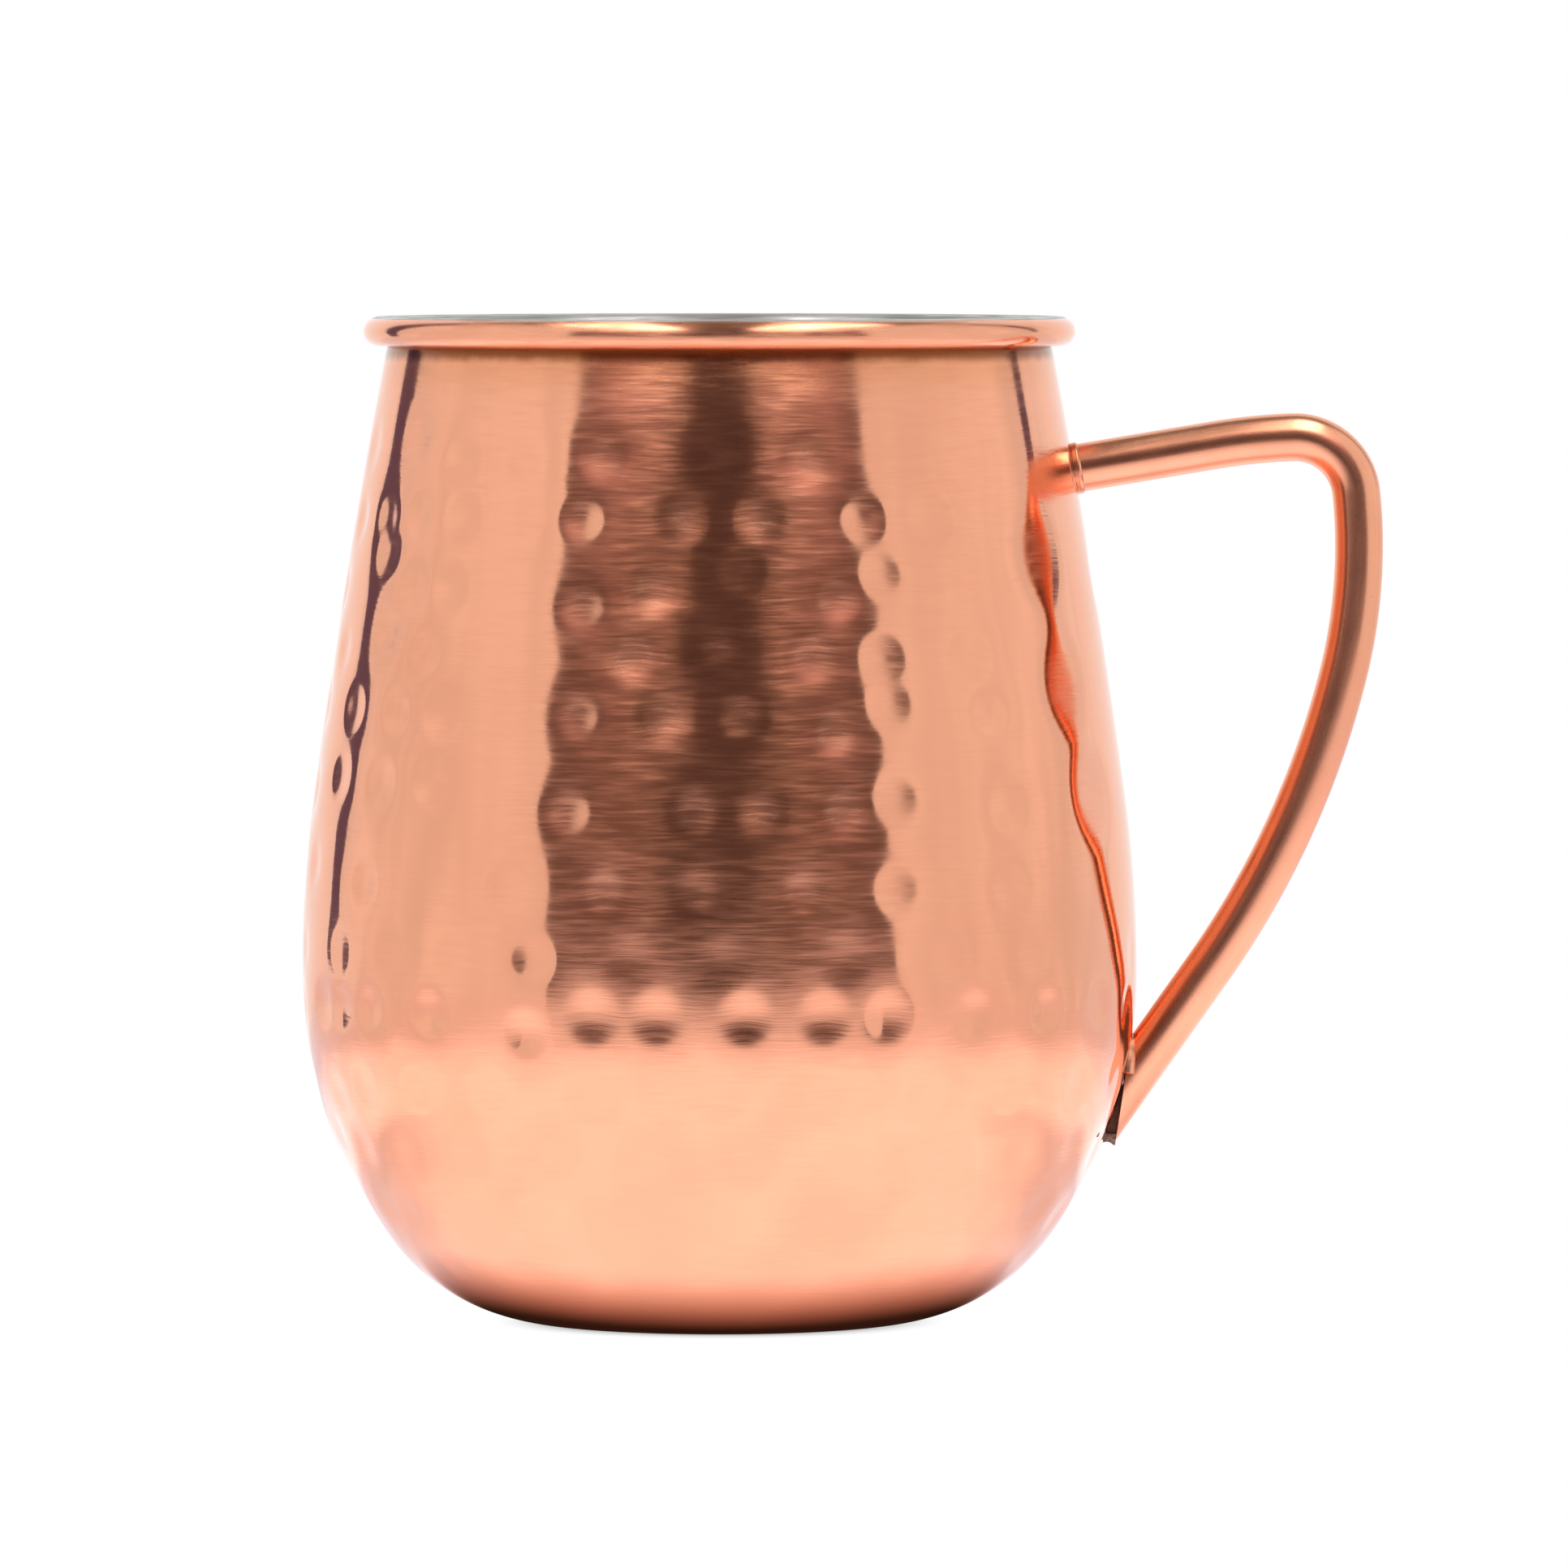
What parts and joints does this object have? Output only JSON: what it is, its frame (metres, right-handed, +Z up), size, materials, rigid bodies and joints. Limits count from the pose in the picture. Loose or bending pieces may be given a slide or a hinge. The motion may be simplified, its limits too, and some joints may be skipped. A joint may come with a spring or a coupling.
{
  "type": "mug",
  "caption": "Pear-shaped hammered copper mug with a steel lining, a rolled rim and a bent tube handle welded on at both ends.",
  "frame": {"origin": "middle of the flat base, on the surface that the mug stands on", "axes": "+Z up along the mug's axis, +X towards the handle, which lies in the XZ plane"},
  "size_m": [0.1127, 0.087, 0.105],
  "materials": {
    "copper": "polished copper with a fine brushed grain round the body",
    "lining_steel": "satin stainless steel",
    "wire_steel": "drawn wire, hidden inside the rim",
    "weld": "copper coloured weld, dressed smooth",
    "braze": "dull grey-brown braze, left as it flowed"
  },
  "bodies": {
    "root": {"outer_shell": "copper", "inner_liner": "lining_steel", "rim_wire": "wire_steel", "handle_tube": "copper", "handle_weld_upper": "weld", "handle_weld_lower": "weld", "handle_tip_braze": "braze"}
  },
  "joints": []
}
